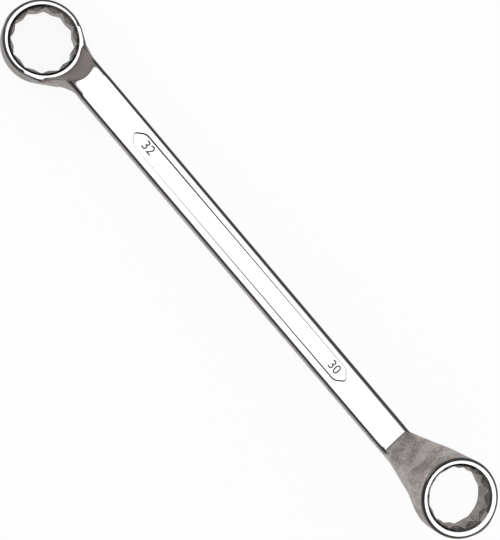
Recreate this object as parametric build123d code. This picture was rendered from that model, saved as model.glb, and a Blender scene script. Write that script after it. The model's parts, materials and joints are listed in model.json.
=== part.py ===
# Double-ended deep-offset ring spanner, 30 x 32, one drop forging cut into its natural zones.
# X runs along the shank from the 32 ring to the 30 ring, Y runs across the shank and Z along
# the ring axes, up on the side where the 30 ring stands. Millimetres.
# The origin is the middle of the overall box.
import os
from collections import namedtuple
from math import asin, atan2, cos, degrees, hypot, radians, sin, sqrt, tan

from build123d import *

# Each head: its socket's size across flats, the wall past the star's outer points, the ring's
# height, and the widths across its neck's outer and inner wall, under the ring and at the top.
socket_30 = 30.0
socket_32 = 32.0
wall_30 = 4.9
wall_32 = 4.5
height_30 = 18.0
height_32 = 18.5
waist_outer_30 = 24.6
waist_outer_32 = 16.2
waist_inner_30 = 36.0
waist_inner_32 = 35.6
top_outer_30 = 31.0
top_outer_32 = 25.0
star_turn_30 = 0  # one of the 30 socket's points is on the shank's line
star_turn_32 = 15  # and one of the 32 socket's tips

head_spacing = 332.0  # between the two ring axes
head_lift = 45.0  # from the shank's middle plane to a ring's working face
star_points = 12
mouth_lead = 1.0  # the mouth's radius past the star's outer points
working_bevel = 1.0  # outer edge of the face that goes over the nut
neck_bevel = 1.8  # outer edge of the face on the neck's side, in two steps
bevel_step_share = 0.3  # where the two steps meet
wall_draft_angle = 1.5  # the wall leans in towards the neck's side
tip_shift = 0.5  # the forged outline stands this far off the bore's axis, away from the neck

# Trimmed nose that the forging die leaves at each ring's tip.
nose_reach = 0.8  # past the ring's wall
nose_round = 17.0
nose_drop = 1.5  # below the working face
nose_height = 6.0

# Shank: a flat bar with rounded edges.
shank_width = 19.4
shank_thickness = 9.6
edge_round = 1.7
edge_flat = edge_round * (2 - sqrt(2))  # up the necks the same edge is one flat

# Necks, measured from a ring's axis towards the shank.
root_reach = 34.2  # corner between the shank's face and the neck's outer wall
root_bevel = 1.5  # cut off that corner along both its sides
elbow_reach = 24.5  # corner between the shank's other face and the neck's inner wall
elbow_bevel = 2.3
inner_wall_angle = 75.0
wall_top_drop = 1.6  # from the working face down to the top of the neck's outer wall
wall_top_inset = 0.4  # the top of that wall stands this far inside the ring's wall
side_inset = 0.5  # the neck's sides touch a circle this far inside the ring's wall
wing_overlap = 1.0  # how far the wings beside the ring run back into the neck
wing_height = 9.0  # above the ring's neck-side face, where they have died away
wing_lean = 2.0  # how far each wing leans in over its height
plain_run = 4.0  # straight bar between the root and the neck's end

# Hollow in the neck's inner wall, which clears the socket's rim or a neighbouring bolt.
hollow_reach = 30.4  # from the ring's axis, at the shank's face
hollow_round = 9.6  # its radius there
hollow_half_angle = 15.0  # it widens towards the ring
ring_lip = 1.6  # left behind the hollow on the ring's lower face

# Panel in both flat faces of the shank.
panel_gap_rising = 79.7  # from its end to the axis of the ring that rises from that face
panel_gap_falling = 69.5  # and to the axis of the other ring
panel_width = 10.0
panel_depth = 0.35
panel_point = 5.5  # length of each pointed end
panel_corner_round = 2.0
panel_draft_angle = 45.0

overrun = 1.0  # how far every cutter runs past what it cuts

half_thickness = shank_thickness / 2

Head = namedtuple("Head", "across wall height waist_outer waist_inner top_outer star_turn")
head_30 = Head(socket_30, wall_30, height_30, waist_outer_30, waist_inner_30, top_outer_30, star_turn_30)
head_32 = Head(socket_32, wall_32, height_32, waist_outer_32, waist_inner_32, top_outer_32, star_turn_32)


def star_radii(head):
    """Radii of the star's inward tips and of its outer points."""
    half = head.across / 2
    return half / cos(radians(180 / star_points)), half / cos(radians(360 / star_points))


def outside_radius(head):
    """Radius of the wall where it is widest, just under the working face."""
    return star_radii(head)[1] + head.wall


def under_radius(head):
    """Radius of the wall at the level of the ring's neck-side face."""
    return outside_radius(head) - head.height * tan(radians(wall_draft_angle))


def under_level(head):
    """Height of a ring's neck-side face above the shank's middle plane."""
    return head_lift - head.height


def tip_reach(head):
    """From the bore's axis to the end of the whole spanner."""
    return tip_shift + outside_radius(head) + nose_reach


# Ring, with its axis on Z, its working face up and its tip towards +X


def ring_blank(head):
    """The ring before broaching: a turned disc with bevelled edges."""
    wide, narrow = outside_radius(head), under_radius(head)
    low, high = under_level(head), head_lift
    step = neck_bevel * bevel_step_share
    with BuildPart() as blank:
        with BuildSketch(Plane.XZ):
            with BuildLine():
                Polyline(
                    (0, low),
                    (narrow - neck_bevel, low),
                    (narrow - step, low + step),
                    (narrow, low + neck_bevel),
                    (wide, high - working_bevel),
                    (wide - working_bevel, high),
                    (0, high),
                    close=True,
                )
            make_face()
        revolve(axis=Axis.Z)
    return Pos(tip_shift, 0, 0) * blank.part


def nose(head):
    """A low round step on the tip, which the trimmed flash leaves."""
    centre = tip_reach(head) - nose_round
    top = head_lift - nose_drop
    hanging = (Align.CENTER, Align.CENTER, Align.MAX)
    return Pos(centre, 0, top) * Cylinder(nose_round, nose_height, align=hanging)


def star_face(head):
    """Twelve-point star: two hexagons, the second turned by half a corner."""
    _, outer = star_radii(head)
    with BuildSketch() as star:
        RegularPolygon(outer, 6, rotation=head.star_turn)
        RegularPolygon(outer, 6, rotation=head.star_turn + 360 / star_points)
    return star.sketch


def mouth(head):
    """Cone that leads the nut into the star, narrowing from the working face."""
    tip, outer = star_radii(head)
    wide, narrow = outer + mouth_lead, tip - overrun
    hanging = (Align.CENTER, Align.CENTER, Align.MAX)
    return Pos(0, 0, head_lift) * Cone(narrow, wide, wide - narrow, align=hanging)


def ring(head):
    low, middle = under_level(head), head_lift - head.height / 2
    bore = Pos(0, 0, low - overrun) * extrude(star_face(head), head.height + 2 * overrun)
    upper_mouth = mouth(head)
    lower_mouth = upper_mouth.mirror(Plane.XY.offset(middle))
    return ring_blank(head) + nose(head) - bore - upper_mouth - lower_mouth


# Neck, in the same frame: it comes from the shank on the -X side and climbs to the ring


def neck_length():
    """From the ring's axis to the plain shank."""
    return root_reach + root_bevel + plain_run


def wall_top(head):
    """Top of the neck's outer wall, where it reaches the ring."""
    return tip_shift - outside_radius(head) + wall_top_inset, head_lift - wall_top_drop


def outer_wall_angle(head):
    top_x, top = wall_top(head)
    return degrees(atan2(top - half_thickness, top_x + root_reach))


def outer_wall_x(head, level):
    return -root_reach + (level - half_thickness) / tan(radians(outer_wall_angle(head)))


def inner_wall_x(level):
    return -elbow_reach + (level + half_thickness) / tan(radians(inner_wall_angle))


def touch_point(head, corner_x, corner_y):
    """Where a line from a corner of the neck touches the ring, seen from above."""
    circle = under_radius(head) - side_inset
    run = tip_shift - corner_x
    angle = asin(circle / hypot(run, corner_y)) - atan2(corner_y, run)
    length = sqrt(run**2 + corner_y**2 - circle**2)
    return corner_x + length * cos(angle), corner_y + length * sin(angle)


def section(outer, inner, outer_width, inner_width):
    """Four-sided face across the neck, between two points (x, z) of its side view."""
    across = Vector(inner[0] - outer[0], 0, inner[1] - outer[1])
    plane = Plane(origin=(outer[0], 0, outer[1]), x_dir=across, z_dir=across.cross(Vector(0, 1, 0)))
    with BuildSketch(plane) as view:
        with BuildLine():
            Polyline(
                (0, outer_width / 2),
                (across.length, inner_width / 2),
                (across.length, -inner_width / 2),
                (0, -outer_width / 2),
                close=True,
            )
        make_face()
        chamfer(view.vertices(), edge_flat)
    return view.sketch


def neck(head):
    """The bar bends twice at the root, climbs and spreads. The ring and the hollow come off."""
    start = -neck_length()
    wall, inner_wall = radians(outer_wall_angle(head)), radians(inner_wall_angle)
    plain = section((start, half_thickness), (start, -half_thickness), shank_width, shank_width)
    bend_start = section(
        (-root_reach - root_bevel, half_thickness),
        (-elbow_reach - elbow_bevel, -half_thickness),
        shank_width,
        shank_width,
    )
    bend_end = section(
        (-root_reach + root_bevel * cos(wall), half_thickness + root_bevel * sin(wall)),
        (-elbow_reach + elbow_bevel * cos(inner_wall), elbow_bevel * sin(inner_wall) - half_thickness),
        shank_width,
        shank_width,
    )
    low = under_level(head)
    waist = section(
        (outer_wall_x(head, low), low),
        (inner_wall_x(low), low),
        head.waist_outer,
        head.waist_inner,
    )
    top_x, top = wall_top(head)
    touch_x, touch_y = touch_point(head, top_x, head.top_outer / 2)
    shoulder = section((top_x, top), (touch_x, top), head.top_outer, 2 * touch_y)
    bar = loft([plain, bend_start, bend_end, waist, shoulder], ruled=True)
    return bar + wings(head) - ring_blank(head) - hollow(head)


def wings(head):
    """The neck's widest sides run on beside the ring until they touch its wall."""
    low = under_level(head)
    side_x, side_y = inner_wall_x(low), head.waist_inner / 2
    touch_x, touch_y = touch_point(head, side_x, side_y)
    spread = (touch_y - side_y) / (touch_x - side_x)
    back_y = side_y - spread * wing_overlap
    sections = []
    for height, lean in ((0, 0), (wing_height, wing_lean)):
        with BuildSketch(Plane.XY.offset(low + height)) as view:
            with BuildLine():
                Polyline(
                    (side_x - wing_overlap, back_y - lean),
                    (touch_x, touch_y - lean),
                    (touch_x, lean - touch_y),
                    (side_x - wing_overlap, lean - back_y),
                    close=True,
                )
            make_face()
        sections.append(view.sketch)
    return loft(sections, ruled=True)


def hollow(head):
    """Leaning cone, from a small round at the elbow up to the lip under the ring."""
    low, high = -half_thickness, under_level(head)
    low_x, high_x = -hollow_reach, ring_lip - under_radius(head)
    half_angle = radians(hollow_half_angle)
    back_lean = atan2(high_x - low_x, high - low)
    lean = back_lean + half_angle
    back_length = hypot(high_x - low_x, high - low) + head.height
    high_radius = hollow_round + back_length * sin(half_angle)
    end = (Align.CENTER, Align.CENTER, Align.MIN)
    cutter = Cone(hollow_round, high_radius, back_length * cos(half_angle), align=end)
    foot = low_x + hollow_round * cos(lean), low - hollow_round * sin(lean)
    return Pos(foot[0], 0, foot[1]) * Rot(0, degrees(lean), 0) * cutter


# Shank, between the two necks


def panel_face():
    """Long panel with a point at each end and every corner rounded, on the rising ring's side +X."""
    start = panel_gap_falling - head_spacing / 2
    end = head_spacing / 2 - panel_gap_rising
    half = panel_width / 2
    with BuildSketch() as face:
        with BuildLine():
            Polyline(
                (start, 0),
                (start + panel_point, half),
                (end - panel_point, half),
                (end, 0),
                (end - panel_point, -half),
                (start + panel_point, -half),
                close=True,
            )
        make_face()
        fillet(face.vertices(), panel_corner_round)
    return face.sketch


def shank():
    start = neck_length() - head_spacing / 2
    with BuildPart() as bar:
        with BuildSketch(Plane.YZ.offset(start)):
            RectangleRounded(shank_width, shank_thickness, edge_round)
        extrude(amount=-2 * start)
    recess = extrude(panel_face(), panel_depth, taper=panel_draft_angle)
    upper = Pos(0, 0, half_thickness) * recess.mirror(Plane.XY)
    lower = upper.rotate(Axis.Y, 180)
    return bar.part - upper - lower


# The 30 head stands as it was drawn; the 32 head is turned half round the Y axis.
# The 32 ring is the larger, so the middle of the box isn't half way between the ring axes.
box_shift = (tip_reach(head_32) - tip_reach(head_30)) / 2


def place_30(shape):
    return Pos(head_spacing / 2 + box_shift, 0, 0) * shape


def place_32(shape):
    return Pos(-head_spacing / 2 + box_shift, 0, 0) * Rot(0, 180, 0) * shape


pieces = {
    "ring_head_32": place_32(ring(head_32)),
    "neck_32": place_32(neck(head_32)),
    "shank": Pos(box_shift, 0, 0) * shank(),
    "neck_30": place_30(neck(head_30)),
    "ring_head_30": place_30(ring(head_30)),
}

os.makedirs("parts", exist_ok=True)
for name, piece in pieces.items():
    export_step(piece, f"parts/{name}.step")
    print(name, len(piece.solids()), "solid", round(piece.volume), "mm3, valid:", piece.is_valid)
print("overall", [round(size, 3) for size in Compound(list(pieces.values())).bounding_box().size])
print("ring axes at x =", round(head_spacing / 2 + box_shift, 3), "and", round(box_shift - head_spacing / 2, 3))
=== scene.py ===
# %% [markdown]
# # A deep-offset ring spanner, 30 x 32
# The real tool is one drop forging of chrome-vanadium steel: a flat bar that is cranked down to
# one ring and up to the other. The forging keeps its soft, slightly uneven skin on the necks and
# round the rings. Then the flat faces are ground and polished, the twelve-point sockets are
# broached, and everything is chrome plated.
#
# This lesson works in the same order. Each head is first made as a soft forging, from a few
# overlapping blanks that are welded and smoothed into one skin, and it is machined afterwards.
# So the crisp edges of the machined faces meet the soft skin as they do on the real tool.

# %% Load the frame
import bmesh
import bpy
import json
from math import asin, atan2, cos, degrees, hypot, pi, radians, sin, sqrt, tan
from mathutils import Matrix, Vector
from types import SimpleNamespace


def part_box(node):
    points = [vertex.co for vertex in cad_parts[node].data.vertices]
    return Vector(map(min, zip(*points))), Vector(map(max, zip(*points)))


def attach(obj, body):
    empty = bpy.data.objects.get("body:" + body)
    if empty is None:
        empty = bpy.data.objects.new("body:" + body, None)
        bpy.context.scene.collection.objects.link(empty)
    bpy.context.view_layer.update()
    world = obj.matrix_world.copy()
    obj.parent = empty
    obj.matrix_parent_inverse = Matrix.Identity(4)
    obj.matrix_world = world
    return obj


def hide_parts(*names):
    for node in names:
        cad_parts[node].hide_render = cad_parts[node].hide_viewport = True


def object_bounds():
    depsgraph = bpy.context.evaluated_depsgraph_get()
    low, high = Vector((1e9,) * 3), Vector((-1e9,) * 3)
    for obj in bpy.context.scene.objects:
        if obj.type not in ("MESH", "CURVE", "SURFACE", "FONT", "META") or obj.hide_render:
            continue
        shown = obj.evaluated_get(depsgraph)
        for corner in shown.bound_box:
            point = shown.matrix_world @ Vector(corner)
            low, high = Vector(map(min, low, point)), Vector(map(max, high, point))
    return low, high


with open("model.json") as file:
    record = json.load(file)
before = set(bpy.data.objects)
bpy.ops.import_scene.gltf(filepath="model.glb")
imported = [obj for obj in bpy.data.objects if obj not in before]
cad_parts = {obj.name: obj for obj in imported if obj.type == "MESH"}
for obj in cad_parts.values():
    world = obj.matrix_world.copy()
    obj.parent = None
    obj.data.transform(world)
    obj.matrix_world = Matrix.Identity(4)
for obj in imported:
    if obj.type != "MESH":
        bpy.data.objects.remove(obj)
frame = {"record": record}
cad_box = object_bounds()
mm = 0.001
print("CAD box in mm:", [round(value / mm, 2) for corner in cad_box for value in corner])

# %% [markdown]
# ## Sizes that the frame already holds
# The engineers' model is the ruler. The ring axes, the height and width of each ring and the
# section of the bar are read from it, so the dressed pieces can't drift from the real sizes.
# Each head is worked on with its ring axis at the origin and its working face up. Once it is
# finished it goes to its place, and the 32 head is turned over.

# %% Read the driving sizes
bar_edge_round = 1.7 * mm
wall_draft = radians(1.5)

mounts = {mount["name"]: mount for mount in frame["record"]["mounts"]}
bar_low, bar_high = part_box("shank")
bar = SimpleNamespace(
    start=bar_low.x,
    end=bar_high.x,
    width=bar_high.y - bar_low.y,
    half=bar_high.z,
    round=bar_edge_round,
)


def read_head(name, side):
    low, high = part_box("ring_head_" + name)
    neck_low, neck_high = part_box("neck_" + name)
    axis_x = mounts["socket_" + name]["pos_m"][0]
    radius = (high.y - low.y) / 2
    height = high.z - low.z
    face = max(high.z, -low.z)
    return SimpleNamespace(
        name=name,
        side=side,  # 1 where the working face looks up, -1 where it looks down
        axis_x=axis_x,
        across=float(name) * mm,
        radius=radius,
        height=height,
        face=face,
        under=face - height,
        under_radius=radius - height * tan(wall_draft),
        seam=max(axis_x - neck_low.x, neck_high.x - axis_x),
    )


head_30 = read_head("30", side=1)
head_32 = read_head("32", side=-1)
heads = (head_30, head_32)
middle_x = (head_30.axis_x + head_32.axis_x) / 2
for head in heads:
    print(head.name, "axis at", round(head.axis_x / mm, 2), "radius", round(head.radius / mm, 2))

# %% [markdown]
# ## The camera
# The photograph looks down on the tool at arm's length, from a little to the left. The place
# and the turn of this camera come from the two sockets: each is seen through from face to face,
# and only one viewpoint draws both stars where the photograph has them.

# %% Place the camera
image_height = 540
focal_pixels = 1411.56
camera_place = Vector((-0.117166, -0.122916, 0.763736))
camera_right = Vector((0.6394555, 0.7366712, 0.2200278))
camera_up = Vector((-0.7531938, 0.6576709, -0.0129680))

camera_data = bpy.data.cameras.new("camera")
camera_data.lens = camera_data.sensor_width * focal_pixels / image_height
camera = bpy.data.objects.new("camera", camera_data)
axes = Matrix((camera_right, camera_up, camera_right.cross(camera_up))).transposed()
camera.matrix_world = Matrix.Translation(camera_place) @ axes.to_4x4()
bpy.context.scene.collection.objects.link(camera)
bpy.context.scene.camera = camera
bpy.context.scene.view_settings.view_transform = "Standard"
print("lens in mm:", round(camera_data.lens, 2))

# %% [markdown]
# ## Shader maths as plain expressions
# A finish is a small sum of patterns and masks. `Signal` wraps one output socket, so that
# `1 - mask` or `mask * 0.3 + 0.2` adds the Math nodes by itself. `Tree` holds the nodes of one
# material or world. Its method `fill` sets or links the sockets of a node, and `add` makes a
# new node with its settings and sockets.

# %% Sockets that can be reckoned with
class Signal:
    """An output socket that adds Math nodes where it meets an operator."""

    def __init__(self, tree, socket):
        self.tree = tree
        self.socket = socket

    def reckon(self, operation, first, second=0.0):
        return self.tree.add("ShaderNodeMath", {"operation": operation}, {0: first, 1: second})

    def __add__(self, other):
        return self.reckon("ADD", self, other)

    def __sub__(self, other):
        return self.reckon("SUBTRACT", self, other)

    def __rsub__(self, other):
        return self.reckon("SUBTRACT", other, self)

    def __mul__(self, other):
        return self.reckon("MULTIPLY", self, other)

    def __abs__(self):
        return self.reckon("ABSOLUTE", self)

    def limited(self):
        return self.reckon("MINIMUM", self, 1.0)

    def or_else(self, other):
        return self.reckon("MAXIMUM", self, other)

    __radd__ = __add__
    __rmul__ = __mul__


class Tree:
    """The nodes of a material or world, added one expression at a time."""

    def __init__(self, owner):
        owner.use_nodes = True
        self.owner = owner
        self.nodes = owner.node_tree.nodes
        self.links = owner.node_tree.links

    def fill(self, node, sockets):
        for key, value in sockets.items():
            if isinstance(value, Signal):
                self.links.new(value.socket, node.inputs[key])
            else:
                node.inputs[key].default_value = value
        return node

    def add(self, kind, settings, sockets, output=0):
        node = self.nodes.new(kind)
        for key, value in settings.items():
            setattr(node, key, value)
        return Signal(self, self.fill(node, sockets).outputs[output])

    def axis(self, vector, index):
        return self.add("ShaderNodeSeparateXYZ", {}, {0: vector}, output=index)

    def ramp(self, value, start, end, shape="SMOOTHSTEP"):
        """0 below start, 1 above end, and a step between."""
        sockets = {"Value": value, "From Min": start, "From Max": end}
        return self.add("ShaderNodeMapRange", {"interpolation_type": shape}, sockets)

    def noise(self, place, scale, detail, stretch=(1, 1, 1)):
        place = self.add("ShaderNodeMapping", {}, {"Vector": place, "Scale": stretch})
        sockets = {"Vector": place, "Scale": scale, "Detail": detail}
        return self.add("ShaderNodeTexNoise", {}, sockets)

    def blend(self, share, first, second):
        """Colours have sockets 6 and 7 of a Mix node, and output 2."""
        settings = {"data_type": "RGBA"}
        return self.add("ShaderNodeMix", settings, {0: share, 6: first, 7: second}, output=2)

    def mix(self, share, first, second):
        return self.add("ShaderNodeMixShader", {}, {0: share, 1: first, 2: second})

    def ray(self, kind):
        return self.add("ShaderNodeLightPath", {}, {}, output=kind)


print("shader helpers ready")

# %% [markdown]
# ## Finishes of one forging
# Polished chrome shows on every face that lies flat: the bar, its panel and both faces of each
# ring. A dark colour is painted along the edges beside them and on the numbers' tops: a painted
# reflection of a dark room, as chrome would mirror one there. Everything else has the satin skin
# of the forging under the same plating: warmer, duller and mottled. Painted shade makes it plain
# and darker in the hollows, and darker on the rings, the 32 neck and the numbers' sides. All of
# it is one material with a few masks. They ask where the surface faces straight up or down, and
# how near it is to one of the machined levels.

# %% Chrome with polished flats, painted dark edge reflections, painted shade and a satin skin
# A noise is given by its scale and detail, and a roughness by its least value and its spread.
polished_colour = (0.86, 0.86, 0.86, 1)
# Painted reflection: a dark base colour for edges beside the polished levels, where chrome would
# mirror a dark room.
painted_dark_reflection = (0.1, 0.098, 0.097, 1)
satin_light = (0.49, 0.452, 0.436, 1)
satin_dark = (0.25, 0.224, 0.212, 1)
# Painted shade: a darker satin for the neck's hollow behind the ring, which the ring keeps from
# the light.
hollow_painted_shade = (0.21, 0.174, 0.162, 1)
flat_steepness = (0.94, 0.985)
edge_steepness = (0.15, 0.4)
level_gap = (0.03 * mm, 0.09 * mm)
ledge_gap = (0.05 * mm, 0.12 * mm)
edge_fade = 1.2
side_shares = (1.1, 0.9)
cloud, speckle, streak, grain = (110.0, 4.0), (900.0, 2.0), (400.0, 3.0), (1400.0, 3.0)
cloud_share = 0.6
mottle_range = (0.36, 0.64)
streak_stretch = (0.05, 1, 1)
bright_roughness = (0.1, 0.07)
satin_roughness = (0.36, 0.16)
bump_strength = 0.3
bump_depth = 0.05 * mm
# A band of painted dark reflection on the flat beside the bar's +Y edge, in place of polish.
dark_band_width = 0.6 * mm
dark_band_growth = 0.0024
dark_band_fade = 0.2 * mm
# Where the painted shade of the hollow lies.
hollow_facing = (6 * mm, 12 * mm)
hollow_gap = (0.1 * mm, 0.4 * mm)
# How far below a ring's level the painted dark reflection reaches.
ring_edge_depth = 1.15 * mm
# Painted shade: the satin colours are darkened piece by piece, the rings and the 32 neck more
# than the 30 neck and the shank.
ring_painted_shade = 0.66
neck_painted_shades = {"30": 1.0, "32": 0.8}


def near_levels(finish, height, levels, start, end):
    """1 within start of a level and 0 past end, added up over the levels."""
    return sum(1 - finish.ramp(abs(height - level), start, end) for level in levels)


def at_sides(finish, place):
    """1 along the bar's two long edges, 0 between them."""
    start, end = [bar.width / 2 - bar.round * share for share in side_shares]
    return finish.ramp(abs(finish.axis(place, 1)), start, end)


def at_painted_dark_band(finish, place):
    """1 in a band beside the bar's +Y edge, a little wider towards the 30 ring, where a dark
    reflection is painted instead of polish.
    """
    width = finish.axis(place, 0) * dark_band_growth + dark_band_width
    across = finish.axis(place, 1) + width - (bar.width / 2 - bar.round)
    return finish.ramp(across, 0.0, dark_band_fade)


# The mask of the painted shade in the neck's hollow.
def in_hollow(finish, place, facing, head):
    """1 below the ring where the neck looks towards the ring's axis, 0 on its other sides."""
    along, across, level = [finish.axis(place, index) for index in range(3)]
    facing_x, facing_y = [finish.axis(facing, index) for index in range(2)]
    towards_axis = -1 * (facing_x * (along - head.axis_x) + facing_y * across)
    start, end = [head.under + gap for gap in hollow_gap]
    below_ring = 1 - finish.ramp(head.side * level, start, end)
    return below_ring * finish.ramp(towards_axis, *hollow_facing)


def chrome(name, levels, edge_depth, painted_shade=1.0, neck_of=None, on_bar=False):
    """Levels are polished and outlined with a painted dark reflection. A neck's own ledge beside
    the ring is polished too.
    """
    finish = Tree(bpy.data.materials.new(name))
    place = finish.add("ShaderNodeTexCoord", {}, {}, output="Object")
    facing = finish.add("ShaderNodeTexCoord", {}, {}, output="Normal")
    steepness = abs(finish.axis(facing, 2))
    height = finish.axis(place, 2)
    at_level = near_levels(finish, height, levels, *level_gap)
    near_level = near_levels(finish, height, levels, edge_depth, edge_depth * edge_fade)
    if neck_of:
        near_level = near_level * at_sides(finish, place)
        at_level = at_level + near_levels(finish, abs(height), [neck_of.under], *ledge_gap)
    polish = finish.ramp(steepness, *flat_steepness) * at_level
    if on_bar:
        # Beside the +Y edge the polish gives way to the painted dark reflection.
        polish = polish * (1 - at_painted_dark_band(finish, place))
    # edge masks the painted dark reflection on rounded edges and chamfers near a level.
    edge = finish.ramp(steepness, *edge_steepness) * near_level.limited()

    clouds = finish.noise(place, *cloud)
    speckles = finish.noise(place, *speckle)
    patches = clouds * cloud_share + speckles * (1 - cloud_share)
    mottle = finish.ramp(patches, *mottle_range)
    # The satin colours darkened by this piece's painted shade.
    light, dark = [
        tuple(painted_shade * part for part in colour[:3]) + (1,) for colour in (satin_light, satin_dark)
    ]
    skin = finish.blend(mottle, dark, light)
    if neck_of:
        # Painted shade in the hollow behind the ring.
        skin = finish.blend(in_hollow(finish, place, facing, neck_of), skin, hollow_painted_shade)
    colour = finish.blend(polish, finish.blend(edge, skin, painted_dark_reflection), polished_colour)

    bright = polish.or_else(edge)
    bright_least, bright_spread = bright_roughness
    satin_least, satin_spread = satin_roughness
    polished_rough = bright_least + bright_spread * finish.noise(place, *streak, streak_stretch)
    rough = bright * polished_rough + (1 - bright) * (satin_least + satin_spread * clouds)
    relief = (finish.noise(place, *grain) + clouds) * (1 - bright)
    sockets = {"Strength": bump_strength, "Distance": bump_depth, "Height": relief}
    bump = finish.add("ShaderNodeBump", {}, sockets)
    sockets = {"Base Color": colour, "Metallic": 1.0, "Roughness": rough, "Normal": bump}
    finish.fill(finish.nodes["Principled BSDF"], sockets)
    return finish.owner


chrome_ring, chrome_neck = {}, {}
bar_levels = [-bar.half, bar.half]
for head in heads:
    levels = [head.side * head.face, head.side * head.under]
    name = "chrome_ring_" + head.name
    chrome_ring[head.name] = chrome(name, levels, ring_edge_depth, ring_painted_shade)
    name, painted_shade = "chrome_neck_" + head.name, neck_painted_shades[head.name]
    chrome_neck[head.name] = chrome(name, bar_levels, bar.round, painted_shade, head, on_bar=True)
print("finishes:", [material.name for material in bpy.data.materials])

# %% [markdown]
# ## Studio
# The bench and the air are white to the camera and in reflections, and the bench keeps a soft
# shadow. A long narrow lamp hangs where the flat faces mirror it to the camera, so they look
# white. Above the horizon the room's walls are grey in reflections, and lighter lower down, so
# the polished faces look like chrome from the sides too. A second lamp stands low at one side.

# %% Bench, lamps and room
white = (1, 1, 1, 1)
bench_grey = (0.9, 0.9, 0.9, 1)
room_grey = (0.8, 0.8, 0.8, 1)
low_wall_grey = (0.62, 0.62, 0.62, 1)
high_wall_grey = (0.28, 0.28, 0.285, 1)
white_share = 0.9  # the rest of the bench is its own lit surface, with the shadow on it
bench_size = 1.6
horizon = (0.0, 0.06)
wall_fade = (0.2, 0.7)

paint = Tree(bpy.data.materials.new("pale_bench"))
sockets = {"Base Color": bench_grey, "Roughness": 0.9, "Specular IOR Level": 0.0}
surface = Signal(paint, paint.fill(paint.nodes["Principled BSDF"], sockets).outputs[0])
glow = paint.add("ShaderNodeEmission", {}, {"Color": white, "Strength": 1.0})
share = paint.ray("Is Camera Ray").or_else(paint.ray("Is Glossy Ray")) * white_share
paint.fill(paint.nodes["Material Output"], {"Surface": paint.mix(share, surface, glow)})

bench_mesh = bpy.data.meshes.new("bench")
bench_bm = bmesh.new()
bench_place = Matrix.Translation((0, 0, cad_box[0].z))
bmesh.ops.create_grid(bench_bm, x_segments=1, y_segments=1, size=bench_size, matrix=bench_place)
bench_bm.to_mesh(bench_mesh)
bench_bm.free()
bench_mesh.materials.append(paint.owner)
bench = bpy.data.objects.new("bench", bench_mesh)
bpy.context.scene.collection.objects.link(bench)

air = Tree(bpy.data.worlds.new("room"))
bpy.context.scene.world = air.owner
room = Signal(air, air.fill(air.nodes["Background"], {"Color": room_grey}).outputs[0])
low_walls, high_walls, backdrop = [
    air.add("ShaderNodeBackground", {}, {"Color": colour})
    for colour in (low_wall_grey, high_wall_grey, white)
]
upward = air.axis(air.add("ShaderNodeTexCoord", {}, {}, output="Generated"), 2)
walls = air.mix(air.ramp(upward, *wall_fade, "LINEAR"), low_walls, high_walls)
mirrored = air.mix(air.ramp(upward, *horizon, "LINEAR"), backdrop, walls)
in_metal = air.ray("Is Glossy Ray").or_else(air.ray("Is Transmission Ray"))
lit = air.mix(in_metal, room, mirrored)
seen = air.mix(air.ray("Is Camera Ray"), lit, backdrop)
air.fill(air.nodes["World Output"], {"Surface": seen})


def softbox(name, place, aim, size, brightness):
    """A rectangular lamp that mirrors as bright as asked, whatever its size."""
    data = bpy.data.lights.new(name, "AREA")
    data.shape = "RECTANGLE"
    data.size, data.size_y = size
    data.energy = brightness * pi * size[0] * size[1]
    lamp = bpy.data.objects.new(name, data)
    facing = (Vector(place) - Vector(aim)).to_track_quat("Z", "Y")
    lamp.matrix_world = Matrix.Translation(place) @ facing.to_matrix().to_4x4()
    bpy.context.scene.collection.objects.link(lamp)
    print(name, round(data.energy, 2), "W")


overhead, beside = (0.19, 0.19, 1.2), (-0.85, -0.1, 0.42)
softbox("overhead_lamp", overhead, aim=(0.19, 0.19, 0), size=(1.2, 0.46), brightness=1.13)
softbox("side_lamp", beside, aim=(0, 0, 0), size=(0.5, 0.4), brightness=2.0)

# %% [markdown]
# ## Helpers for shapes
# A piece starts in a bmesh and becomes an object at the world origin, with its place in its
# mesh. Cutters are closed shapes too: a boolean takes them off the work and they are deleted.

# %% Make, cut and weld
same_level = 1e-7


def link_object(name, data):
    piece = bpy.data.objects.new(name, data)
    bpy.context.scene.collection.objects.link(piece)
    return piece


def to_object(bm, name):
    bmesh.ops.recalc_face_normals(bm, faces=bm.faces)
    mesh = bpy.data.meshes.new(name)
    bm.to_mesh(mesh)
    bm.free()
    return link_object(name, mesh)


def evaluated_mesh(piece):
    graph = bpy.context.evaluated_depsgraph_get()
    return bpy.data.meshes.new_from_object(piece.evaluated_get(graph))


def bake_modifiers(piece):
    mesh = evaluated_mesh(piece)
    piece.modifiers.clear()
    old = piece.data
    piece.data = mesh
    mesh.name = piece.name
    bpy.data.meshes.remove(old)


def combine(work, tool, operation):
    """Weld a shape to the work, or take it off, and throw the tool away."""
    cut = work.modifiers.new("cut", "BOOLEAN")
    cut.operation = operation
    cut.solver = "MANIFOLD"
    cut.object = tool
    bake_modifiers(work)
    bpy.data.objects.remove(tool)
    return work


def disc(low, high, low_radius, high_radius, centre_x=0.0, segments=160):
    """Upright round bar or cone between two levels."""
    bm = bmesh.new()
    bmesh.ops.create_cone(
        bm,
        cap_ends=True,
        segments=segments,
        radius1=low_radius,
        radius2=high_radius,
        depth=high - low,
        matrix=Matrix.Translation((centre_x, 0, (low + high) / 2)),
    )
    return bm


def block(name, size, centre):
    bm = bmesh.new()
    bmesh.ops.create_cube(bm, size=1.0)
    bmesh.ops.scale(bm, vec=size, verts=bm.verts)
    shift(bm, centre)
    return to_object(bm, name)


def round_off(bm, geom, width, segments, affect="VERTICES"):
    bmesh.ops.bevel(
        bm, geom=geom, offset=width, segments=segments, profile=0.5, affect=affect, material=-1
    )


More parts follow.
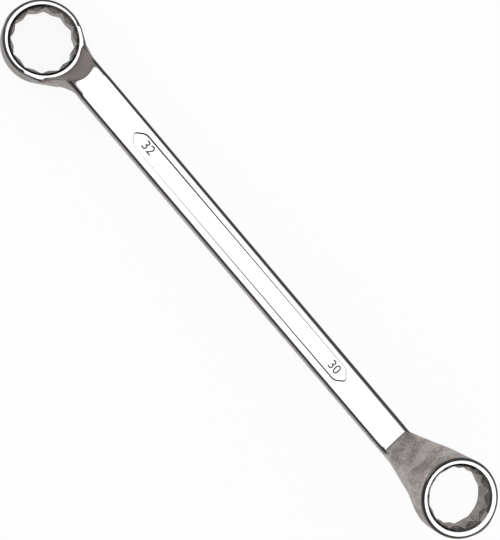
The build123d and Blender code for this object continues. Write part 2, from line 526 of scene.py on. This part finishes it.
def soften_rim(bm, level, width, segments):
    """Round the rim of a disc at one level."""
    rim = [edge for edge in bm.edges if all(abs(v.co.z - level) < same_level for v in edge.verts)]
    round_off(bm, rim, width, segments, affect="EDGES")


def points_in(geom):
    return [item for item in geom if isinstance(item, bmesh.types.BMVert)]


def extrude(bm, geom):
    return bmesh.ops.extrude_face_region(bm, geom=geom)["geom"]


def rotate(bm, angle, axis, centre=(0, 0, 0)):
    turn = Matrix.Rotation(angle, 3, axis)
    bmesh.ops.rotate(bm, cent=centre, matrix=turn, verts=bm.verts)


def shift(bm, by, points=None):
    bmesh.ops.translate(bm, vec=by, verts=points or bm.verts)


def boundary(bm):
    return [edge for edge in bm.edges if edge.is_boundary]


def close_holes(bm):
    bmesh.ops.holes_fill(bm, edges=boundary(bm), sides=0)


def bar_section(segments):
    """The bar's section as one face, its thickness along X and its width along Y."""
    bm = bmesh.new()
    bmesh.ops.create_grid(bm, x_segments=1, y_segments=1, size=0.5)
    bmesh.ops.scale(bm, vec=(2 * bar.half, bar.width, 1), verts=bm.verts)
    round_off(bm, bm.verts[:], bar.round, segments)
    return bm


def open_edges(bm):
    return sum(1 for edge in bm.edges if not edge.is_manifold)


print("helpers ready")

# %% [markdown]
# ## The ring's blank
# A forged ring is a drafted disc: the wall leans in towards the neck's side, so that it leaves
# the die, and both rims slope off. It is made a little taller than the finished ring, because
# both faces will be ground flat. The trimming die leaves a low step on the tip.

# %% Ring blank and trimmed nose
face_stock = 0.12 * mm
rim_run = 1.6 * mm
rim_drop = 1.0 * mm
under_stock = 0.3 * mm
under_run = 2.0 * mm
under_drop = 1.1 * mm
tip_shift = 0.5 * mm
nose_reach = 0.8 * mm
nose_round = 17.0 * mm
nose_drop = 1.5 * mm
nose_height = 6.0 * mm
nose_top_round = 0.5 * mm
nose_foot_round = 2.5 * mm


def ring_blank(head):
    low, high = head.under + under_drop, head.face - rim_drop
    bm = disc(low, high, head.under_radius, head.radius, centre_x=tip_shift)
    foot, *_, crown = sorted(bm.faces, key=lambda face: face.calc_center_median().z)
    for cap, run, rise in (
        (crown, rim_run, rim_drop + face_stock),
        (foot, under_run, under_drop + under_stock),
    ):
        bmesh.ops.inset_region(bm, faces=[cap], thickness=run, depth=rise)
    return to_object(bm, "blank_" + head.name)


def nose_blank(head):
    centre = tip_shift + head.radius + nose_reach - nose_round
    top = head.face - nose_drop
    bm = disc(top - nose_height, top, nose_round, nose_round, centre_x=centre)
    soften_rim(bm, top, nose_top_round, 4)
    soften_rim(bm, top - nose_height, nose_foot_round, 6)
    return to_object(bm, "nose_" + head.name)


print("rings in mm:", [round(head.height / mm, 1) for head in heads], "tall")

# %% [markdown]
# ## The neck
# The bar bends up, climbs steeply and spreads until its sides touch the ring. One rounded
# section is drawn at the bar, and each extrusion carries it to the next station, where the
# section turns and widens. Every point remembers its place in the section, as shares of the
# width and of the thickness, and that is all that a new station needs.

# %% Stations up the neck
root_reach = 34.2 * mm
root_bevel = 0.9 * mm
elbow_reach = 24.5 * mm
elbow_bevel = 2.3 * mm
elbow_spread = 1 * mm
inner_lean = radians(75.0)
wall_top_drop = 1.6 * mm
wall_top_inset = 0.4 * mm
side_inset = 0.3 * mm
stub_length = 6 * mm
climb_shares = (0.35, 0.7, 1.0)
shoulder_drop = 9.0 * mm
shoulder_drops = (shoulder_drop + 4 * mm, shoulder_drop + 0.6 * mm, shoulder_drop)
# Widths across the outer and the inner wall below the ring, and across the outer wall's top.
neck_widths = {
    "30": (24.6 * mm, 36.4 * mm, 31.0 * mm),
    "32": (16.6 * mm, 36.0 * mm, 25.0 * mm),
}


def outer_lean(head):
    """The outer wall climbs from the root to the top of the ring's wall."""
    run = root_reach + tip_shift - head.radius + wall_top_inset
    return atan2(head.face - wall_top_drop - bar.half, run)


def outer_wall(head, level):
    return Vector((-root_reach + (level - bar.half) / tan(outer_lean(head)), 0, level))


def inner_wall(level):
    return Vector((-elbow_reach + (level + bar.half) / tan(inner_lean), 0, level))


def touch_point(head, corner_x, corner_y):
    """Where a line from a corner of the neck touches the ring, seen from above."""
    circle = head.under_radius - side_inset
    run = tip_shift - corner_x
    angle = asin(circle / hypot(run, corner_y)) - atan2(corner_y, run)
    length = sqrt(run**2 + corner_y**2 - circle**2)
    return corner_x + length * cos(angle), corner_y + length * sin(angle)


def level_section(x):
    """Outer and inner point of the level bar at one place along it."""
    return [Vector((x, 0, bar.half)), Vector((x, 0, -bar.half))]


def neck_stations(head):
    """Outer point, inner point and the widths there, from the bar to the ring."""
    waist_outer, waist_inner, top_outer = neck_widths[head.name]
    width = bar.width
    lean = outer_lean(head)
    up_outer = Vector((cos(lean), 0, sin(lean)))
    up_inner = Vector((cos(inner_lean), 0, sin(inner_lean)))
    root = Vector((-root_reach, 0, bar.half))
    elbow = Vector((-elbow_reach, 0, -bar.half))
    stations = [(*level_section(-head.seam - back), width, width) for back in (stub_length, 0)]
    for root_steps, elbow_steps in ((2, 3), (1, 1)):
        outer = root - Vector((root_steps * root_bevel, 0, 0))
        inner = elbow - Vector((elbow_steps * elbow_bevel, 0, 0))
        stations.append((outer, inner, width, width))
    outer, inner = root + up_outer * root_bevel, elbow + up_inner * elbow_bevel
    stations.append((outer, inner, width, width + elbow_spread))

    for share in climb_shares:
        outer = outer_wall(head, bar.half + (head.under - bar.half) * share)
        inner = inner_wall(-bar.half + (head.under + bar.half) * share)
        outer_width = width + (waist_outer - width) * share
        inner_width = width + (waist_inner - width) * share
        stations.append((outer, inner, outer_width, inner_width))

    top = head.face - wall_top_drop
    touch_x, touch_y = touch_point(head, outer_wall(head, top).x, top_outer / 2)
    waist, shoulder = inner_wall(head.under), Vector((touch_x, 0, top))
    for drop in shoulder_drops:
        level = top - drop
        share = (level - head.under) / (top - head.under)
        outer_width = waist_outer + (top_outer - waist_outer) * share
        inner_width = waist_inner + (2 * touch_y - waist_inner) * share
        inner = waist.lerp(shoulder, share)
        stations.append((outer_wall(head, level), inner, outer_width, inner_width))
    return stations


def neck_blank(head):
    bm = bar_section(segments=4)
    shares = bm.verts.layers.float_vector.new("shares")
    for vert in bm.verts:
        vert[shares] = (vert.co.x / (2 * bar.half) + 0.5, vert.co.y / bar.width, 0)
    points = bm.verts[:]
    region = bm.verts[:] + bm.edges[:] + bm.faces[:]
    for count, (outer, inner, outer_width, inner_width) in enumerate(neck_stations(head)):
        if count:
            region = extrude(bm, region)
            points = points_in(region)
        for vert in points:
            through, across, _ = vert[shares]
            width = outer_width + (inner_width - outer_width) * through
            vert.co = outer.lerp(inner, through) + Vector((0, across * width, 0))
    print("neck", head.name, len(bm.verts), "points,", open_edges(bm), "open edges")
    return to_object(bm, "neck_blank_" + head.name)


print("outer walls climb at", [round(degrees(outer_lean(head)), 1) for head in heads], "degrees")

# %% [markdown]
# ## Shoulders beside the ring
# The upper end of the neck and the near half of the ring's wall are wrapped in one taut convex
# skin. Its sides run straight on from the neck until they touch the ring, and no valley is
# left between the two.

# %% Shoulders
wrap_inset = 0.05 * mm
wrap_steps = 40
wrap_overlap = 0.01 * mm


def shoulder_blank(head, neck):
    waist_inner = neck_widths[head.name][1]
    touch_x, touch_y = touch_point(head, inner_wall(head.under).x, waist_inner / 2)
    first = atan2(touch_y, touch_x - tip_shift)
    lowest = head.under - wrap_overlap
    points = [vert.co for vert in neck.data.vertices if vert.co.z > lowest]
    for level in (head.under, head.face - wall_top_drop):
        radius = head.radius - (head.face - level) * tan(wall_draft) - wrap_inset
        for step in range(wrap_steps + 1):
            angle = first + (2 * pi - 2 * first) * step / wrap_steps
            points.append((tip_shift + radius * cos(angle), radius * sin(angle), level))
    bm = bmesh.new()
    for point in points:
        bm.verts.new(point)
    bmesh.ops.convex_hull(bm, input=bm.verts[:])
    inside = [vert for vert in bm.verts if not vert.link_faces]
    bmesh.ops.delete(bm, geom=inside, context="VERTS")
    print("shoulders", head.name, "touch the ring", round(touch_y / mm, 1), "mm off the middle")
    return to_object(bm, "shoulders_" + head.name)


print("each shoulder is wrapped round", wrap_steps, "steps of the ring's wall")

# %% [markdown]
# ## The hollow
# Behind the ring the neck is dished out, so that the socket's rim clears a neighbouring bolt.
# The dish is a leaning cone: small and round at the elbow, wide where it meets the ring. It
# stops level with the ring's face on the neck's side, so that this face stays whole.

# %% The dish's cutter
hollow_reach = 30.4 * mm
hollow_round = 9.6 * mm
hollow_half_angle = radians(15.0)
hollow_start = 4 * mm
ring_lip = 1.0 * mm


def hollow_cutter(head):
    low_x, high_x = -hollow_reach, ring_lip - head.under_radius
    low, high = -bar.half, head.under
    lean = atan2(high_x - low_x, high - low) + hollow_half_angle
    length = hypot(high_x - low_x, high - low) + head.height / 2
    growth, foreshortening = sin(hollow_half_angle), cos(hollow_half_angle)
    depth = (hollow_start + length) * foreshortening
    bm = disc(
        -hollow_start * foreshortening,
        depth - hollow_start * foreshortening,
        hollow_round - hollow_start * growth,
        hollow_round + length * growth,
        centre_x=hollow_round,
    )
    rotate(bm, lean, "Y")
    shift(bm, (low_x, 0, low))
    geom = bm.verts[:] + bm.edges[:] + bm.faces[:]
    plane = {"plane_co": (0, 0, high), "plane_no": (0, 0, 1)}
    bmesh.ops.bisect_plane(bm, geom=geom, clear_outer=True, **plane)
    close_holes(bm)
    return to_object(bm, "hollow_cutter")


print("hollow in mm:", round(hollow_round / mm, 1), "round at the elbow")

# %% [markdown]
# ## Weld and soften the forging
# The blanks are welded, then a voxel remesh covers them with an even skin and a few rounds of
# smoothing melt the joints into fillets, as hot steel flows in the die. The bar's stub is drawn
# back to the exact section of the bar, so that the shank fits on without a step.

# %% One soft skin for each head
voxel = 0.38 * mm
smoothing_rounds = 7
stub_blend = 1.5 * mm
least_reach = 0.2 * mm  # a point nearer than this to the section's core has no way out


def clamped(value, limit):
    return max(-limit, min(limit, value))


def draw_to_bar(bm):
    """Pull the stub's skin onto the bar's rounded section."""
    start = -root_reach - root_bevel - stub_blend
    half_width = bar.width / 2 - bar.round
    half_thick = bar.half - bar.round
    for vert in bm.verts:
        share = min(1.0, (start - vert.co.x) / stub_blend)
        if share <= 0:
            continue
        core = Vector((0, clamped(vert.co.y, half_width), clamped(vert.co.z, half_thick)))
        out = Vector((0, vert.co.y, vert.co.z)) - core
        if out.length > least_reach:
            exact = core + out.normalized() * bar.round
            vert.co.y += (exact.y - vert.co.y) * share
            vert.co.z += (exact.z - vert.co.z) * share


def forging(head):
    work = ring_blank(head)
    neck = neck_blank(head)
    rounding = neck.modifiers.new("rounding", "SUBSURF")
    rounding.levels = rounding.render_levels = 2
    bake_modifiers(neck)
    combine(work, shoulder_blank(head, neck), "UNION")
    combine(work, neck, "UNION")
    combine(work, nose_blank(head), "UNION")
    combine(work, hollow_cutter(head), "DIFFERENCE")
    skin = work.modifiers.new("skin", "REMESH")
    skin.mode = "VOXEL"
    skin.voxel_size = voxel
    bake_modifiers(work)
    bm = bmesh.new()
    bm.from_mesh(work.data)
    every_way = {"use_axis_x": True, "use_axis_y": True, "use_axis_z": True}
    for _ in range(smoothing_rounds):
        bmesh.ops.smooth_vert(bm, verts=bm.verts, factor=0.5, **every_way)
    draw_to_bar(bm)
    bm.to_mesh(work.data)
    bm.free()
    print("forging", head.name, len(work.data.polygons), "faces")
    return work


forged = {head.name: forging(head) for head in heads}

# %% [markdown]
# ## Grinding, spot-facing and broaching
# The working face is ground flat right across. The other face is spot-faced, because the neck
# is in the way: a cutter with a sloping flank leaves a flat annulus, which runs on over the
# neck as a narrow ledge. The mouths are turned, and the broach cuts the star: two hexagons,
# one turned by 30 degrees.

# %% Machine the ring
mouth_lead = 0.5 * mm
mouth_slope = radians(65)
mouth_chamfer = 0.9 * mm
mouth_chamfer_slope = radians(45)
corner_softness = 0.25 * mm
spot_face_inset = 0.3 * mm
spot_facer_height = 6 * mm
spot_facer_flank = 1.2
overrun = 1.0 * mm
star_step = 15  # degrees from a tip of the star to the next point
star_turns = {"30": 0, "32": 15}


def star_radii(head):
    half = head.across / 2
    return half / cos(radians(star_step)), half / cos(radians(2 * star_step))


def star_cutter(head):
    tip, point = star_radii(head)
    turn = radians(star_turns[head.name])
    bm = bmesh.new()
    rim = bmesh.ops.create_circle(bm, cap_ends=True, segments=24, radius=point)["verts"]
    rotate(bm, turn, "Z")
    for vert in rim:
        angle = degrees(atan2(vert.co.y, vert.co.x) - turn)
        if round(angle / star_step) % 2:
            vert.co *= tip / point
    round_off(bm, rim, corner_softness, 2)
    top = points_in(extrude(bm, bm.faces[:]))
    shift(bm, (0, 0, head.height + 2 * overrun), top)
    shift(bm, (0, 0, head.under - overrun))
    return to_object(bm, "star_cutter")


def mouth_cutters(head):
    """At each mouth a steep lead-in for the nut, and a chamfer on its rim."""
    tip, point = star_radii(head)
    narrow = tip - overrun
    lead = point + mouth_lead
    cutters = []
    for wide, slope in ((lead, mouth_slope), (lead + mouth_chamfer, mouth_chamfer_slope)):
        flare = wide + overrun / tan(slope)
        depth = (wide - narrow) * tan(slope)
        for low, high, low_radius, high_radius in (
            (head.face - depth, head.face + overrun, narrow, flare),
            (head.under - overrun, head.under + depth, flare, narrow),
        ):
            cutter = disc(low, high, low_radius, high_radius, segments=192)
            cutters.append(to_object(cutter, "mouth_cutter"))
    return cutters


def face_cutters(head):
    """A block over the working face, and a sloping spot-facer under the other."""
    reach = 2 * head.radius
    over = disc(head.face, head.face + reach, reach, reach, segments=32)
    wide = head.under_radius - spot_face_inset
    narrow = wide - spot_facer_height * spot_facer_flank
    facer_low = head.under - spot_facer_height
    facer = disc(facer_low, head.under, narrow, wide, centre_x=tip_shift / 2)
    return [to_object(over, "face_cutter"), to_object(facer, "spot_facer")]


for head in heads:
    work = forged[head.name]
    for cutter in face_cutters(head) + mouth_cutters(head) + [star_cutter(head)]:
        combine(work, cutter, "DIFFERENCE")
    print("machined", head.name, len(work.data.polygons), "faces")

# %% [markdown]
# ## Two pieces from each head
# The real head is one lump, and the frame names two zones of it, so the finished head is split
# where the frame has its border: the ring's own wall. The split is made last, on a dense skin,
# and both sides keep the shape that they had, so no seam shows.

# %% Split the ring from its neck, and place both
split_back = 9.0 * mm
past_seam = (30 * mm, 80 * mm, 80 * mm)
sharp_angle = radians(32)
wide_flat = 1.5 * mm**2


def ring_zone(head):
    """The ring's round wall towards the neck, and everything on the tip's side."""
    high = head.face + overrun
    wall = disc(head.under, high, head.radius, head.radius, centre_x=tip_shift, segments=192)
    reach = 2 * head.radius
    size = (reach, 2 * reach, high - head.under)
    tip_side = block("tip_side", size, (reach / 2 - split_back, 0, (high + head.under) / 2))
    return combine(to_object(wall, "ring_zone"), tip_side, "UNION")


def beyond_seam(head):
    """Everything past the border between the neck and the shank."""
    return block("beyond_seam", past_seam, (-head.seam - past_seam[0] / 2, 0, 0))


def finish_mesh(piece, material):
    """Smooth shading. Edges stay crisp where the skin turns sharply or meets a wide flat."""
    bm = bmesh.new()
    bm.from_mesh(piece.data)
    for face in bm.faces:
        face.smooth = True
        face.material_index = 0
    for edge in bm.edges:
        beside_flat = any(face.calc_area() > wide_flat for face in edge.link_faces)
        edge.smooth = edge.calc_face_angle(pi) < sharp_angle and not beside_flat
    triangles = sum(len(face.verts) - 2 for face in bm.faces)
    print(piece.name, triangles, "triangles,", open_edges(bm), "open edges")
    bm.to_mesh(piece.data)
    bm.free()
    piece.data.materials.clear()
    piece.data.materials.append(material)


pieces = {}
for head in heads:
    work = forged[head.name]
    ring = link_object("ring_" + head.name, work.data.copy())
    neck = link_object("cranked_neck_" + head.name, work.data.copy())
    bpy.data.objects.remove(work)
    combine(ring, ring_zone(head), "INTERSECT")
    combine(neck, ring_zone(head), "DIFFERENCE")
    combine(neck, beyond_seam(head), "DIFFERENCE")
    turn = Matrix.Rotation(pi if head.side < 0 else 0, 4, "Y")
    for piece, material in ((ring, chrome_ring[head.name]), (neck, chrome_neck[head.name])):
        piece.data.transform(Matrix.Translation((head.axis_x, 0, 0)) @ turn)
        finish_mesh(piece, material)
    pieces["ring_head_" + head.name] = ring
    pieces["neck_" + head.name] = neck

# %% [markdown]
# ## The shank
# A flat bar with rounded edges. Each flat face has one long panel pressed into it, pointed at
# both ends. The panel's walls slope, and its floor is turned by a hair, so that the gentler
# wall changes sides between the two ends.

# %% Bar with a pressed panel in each face
panel_gap_rising = 79.7 * mm
panel_gap_falling = 69.5 * mm
panel_width = 10.0 * mm
panel_depth = 0.35 * mm
panel_point = 5.5 * mm
panel_corner_round = 2.0 * mm
panel_slope_run = 0.55 * mm
panel_twist = 0.35 * mm


def bar_blank():
    bm = bar_section(segments=10)
    end = points_in(extrude(bm, bm.faces[:]))
    shift(bm, (0, 0, bar.end - bar.start), end)
    rotate(bm, pi / 2, "Y")
    shift(bm, (bar.start, 0, 0))
    return to_object(bm, "polished_shank")


def panel_cutter(lower):
    start = head_32.axis_x + panel_gap_falling
    end = head_30.axis_x - panel_gap_rising
    half = panel_width / 2
    corners = [(start, 0), (start + panel_point, half), (end - panel_point, half)]
    corners += [(end, 0), (end - panel_point, -half), (start + panel_point, -half)]
    bm = bmesh.new()
    outline = [bm.verts.new((x, y, 0)) for x, y in corners]
    bm.faces.new(outline)
    round_off(bm, outline, panel_corner_round, 6)
    bmesh.ops.inset_region(bm, faces=bm.faces[:], thickness=panel_slope_run, use_boundary=True)
    panel_floor = max(bm.faces, key=lambda face: face.calc_area())
    for vert in panel_floor.verts:
        vert.co.y += panel_twist * (2 * vert.co.x - start - end) / (end - start)
        vert.co.z = -panel_depth
    collar = bmesh.ops.extrude_edge_only(bm, edges=boundary(bm))["geom"]
    shift(bm, (0, 0, overrun), points_in(collar))
    close_holes(bm)
    shift(bm, (0, 0, bar.half))
    if lower:
        rotate(bm, pi, "Y", centre=(middle_x, 0, 0))
    return to_object(bm, "panel_cutter")


shank = bar_blank()
for lower in (False, True):
    combine(shank, panel_cutter(lower), "DIFFERENCE")
floor_level = bar.half - panel_depth
shank_levels = [bar.half, -bar.half, floor_level, -floor_level]
finish_mesh(shank, chrome("chrome_shank", shank_levels, bar.round, on_bar=True))
pieces["shank"] = shank

# %% [markdown]
# ## The numbers
# The two sizes, 32 and 30, stand in the ends of the panel as raised figures, a hair lower than
# the face around it. A text object becomes a mesh before it gets its place.

# %% Raised figures in the panel
figure_height = 5.4 * mm
figure_rise = 0.3 * mm
figure_bevel = 0.22 * mm
figure_thinning = 0.16 * mm
# Painted shade on the figures' satin sides.
figure_painted_shade = 0.55
font_height_share = 0.7
figure_lift = 0.6 * mm
number_starts = {"32": middle_x - 88.0 * mm, "30": middle_x + 72.0 * mm}
same_point = 0.001 * mm


def number(text, left, material):
    curve = bpy.data.curves.new("figures", "FONT")
    curve.body = text
    curve.size = figure_height / font_height_share
    curve.extrude = figure_rise / 2
    curve.offset = -figure_thinning
    curve.bevel_depth = figure_bevel
    curve.bevel_resolution = 0
    source = link_object("figures", curve)
    mesh = evaluated_mesh(source)
    bpy.data.objects.remove(source)
    piece = link_object("number_" + text, mesh)
    low_x, low_y = [min(vert.co[axis] for vert in mesh.vertices) for axis in range(2)]
    top = max(vert.co.z for vert in mesh.vertices)
    bottom = figure_lift - figure_height / 2
    place = (left - low_x, bottom - low_y, floor_level + figure_rise - top)
    mesh.transform(Matrix.Translation(place))
    bm = bmesh.new()
    bm.from_mesh(mesh)
    bmesh.ops.remove_doubles(bm, verts=bm.verts, dist=same_point)
    bm.to_mesh(mesh)
    bm.free()
    finish_mesh(piece, material)
    return piece


# The figures' tops lie within the dark-edge depth of the panel floor, so they take the painted
# dark reflection, and their sides the painted shade.
chrome_figures = chrome("chrome_figures", [floor_level], figure_rise, figure_painted_shade)
numbers = [number(text, left, chrome_figures) for text, left in number_starts.items()]

# %% [markdown]
# ## Hand over
# Every piece rides on the one body. The five pieces of the forging stand in for the frame's five
# zones.

# %% Ride and replace
for node, piece in pieces.items():
    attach(piece, "root")
    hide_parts(node)
for piece in numbers:
    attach(piece, "root")
bpy.context.view_layer.update()
